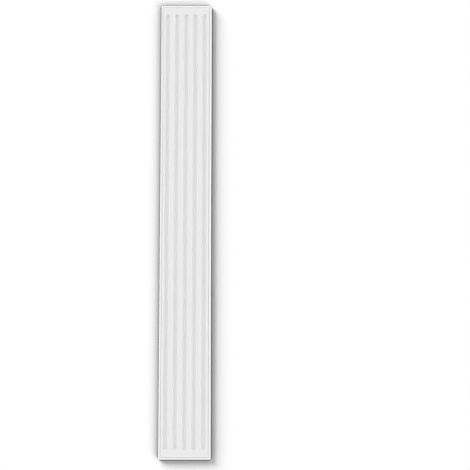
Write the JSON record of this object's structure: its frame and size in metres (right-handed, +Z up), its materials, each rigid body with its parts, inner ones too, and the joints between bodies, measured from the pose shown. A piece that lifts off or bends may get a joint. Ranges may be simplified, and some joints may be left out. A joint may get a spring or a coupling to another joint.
{
  "type": "pilaster",
  "caption": "Flat fluted pilaster shaft for a wall, with round-ended flutes on a raised field inside a narrow stepped border.",
  "frame": {"origin": "centre of the flat back, in the plane of the wall that it is fixed to", "axes": "+Z up along the shaft, +Y into the wall, the fluted face looks along -Y"},
  "size_m": [0.225, 0.025, 2],
  "materials": {
    "primed_casting": "matt white primer on a cast foam moulding, faintly stippled"
  },
  "bodies": {
    "root": {"pilaster_shaft": "primed_casting"}
  },
  "joints": []
}
